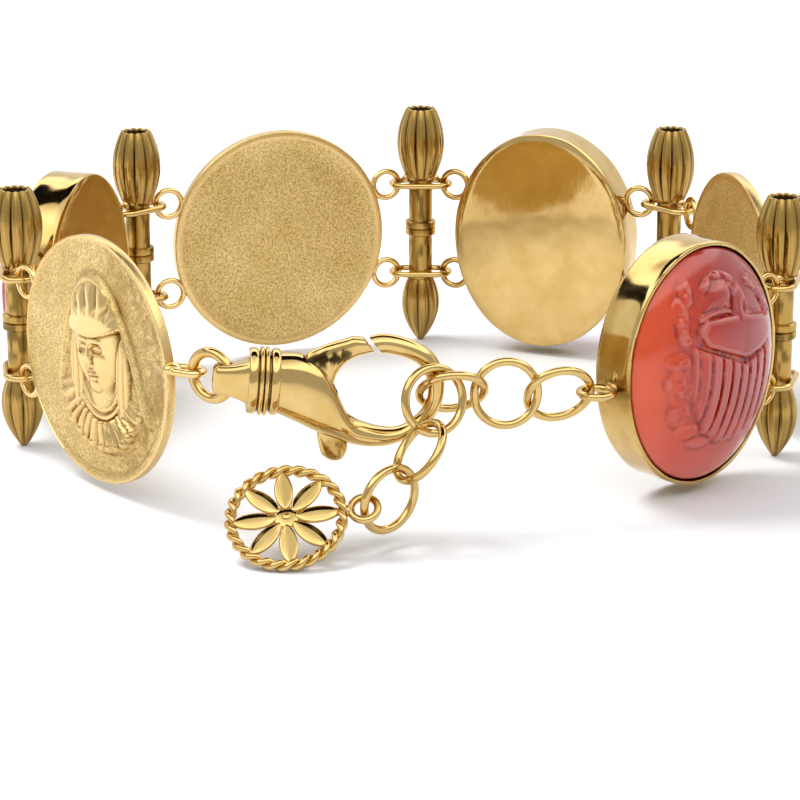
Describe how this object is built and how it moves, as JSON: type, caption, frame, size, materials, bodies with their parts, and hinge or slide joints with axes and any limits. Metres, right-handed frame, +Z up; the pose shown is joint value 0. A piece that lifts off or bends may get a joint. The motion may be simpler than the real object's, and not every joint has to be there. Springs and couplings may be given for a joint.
{
  "type": "scarab bracelet",
  "caption": "Gold link bracelet of coin medallions and carved stone scarabs joined by lotus bars, with lobster clasp, extension chain and round drop.",
  "frame": {"origin": "centre of the bracelet's box on the table it stands on", "axes": "+X to the right and +Y to the back for someone facing the clasp, +Z up"},
  "size_m": [0.0736, 0.0724, 0.0242],
  "materials": {
    "polished_gold": "polished yellow gold",
    "satin_gold": "grained satin yellow gold, relief polished",
    "carnelian": "polished translucent carnelian"
  },
  "bodies": {
    "bracelet": {"bezel_1": "polished_gold", "bezel_2": "polished_gold", "bezel_3": "polished_gold", "scarab_1": "carnelian", "scarab_2": "carnelian", "scarab_3": "carnelian", "medallion_1": "satin_gold", "medallion_2": "satin_gold", "medallion_3": "satin_gold", "lotus_bar_1": "polished_gold", "lotus_bar_2": "polished_gold", "lotus_bar_3": "polished_gold", "lotus_bar_4": "polished_gold", "lotus_bar_5": "polished_gold", "chain_link_1": "polished_gold", "chain_link_2": "polished_gold", "chain_link_3": "polished_gold", "chain_link_4": "polished_gold", "chain_link_5": "polished_gold", "chain_link_6": "polished_gold", "clasp_body": "polished_gold", "clasp_ring": "polished_gold", "drop": "polished_gold"},
    "gate": {"clasp_lever": "polished_gold"}
  },
  "joints": [
    {"name": "clasp_gate", "type": "hinge", "parent": "bracelet", "child": "gate", "pos_m": [-0.00728, -0.02525, 0.01245], "axis": [-0.0958, 0.9954, 0], "range_deg": [0, 22], "stiffness_Nm_per_rad": 0.004}
  ]
}
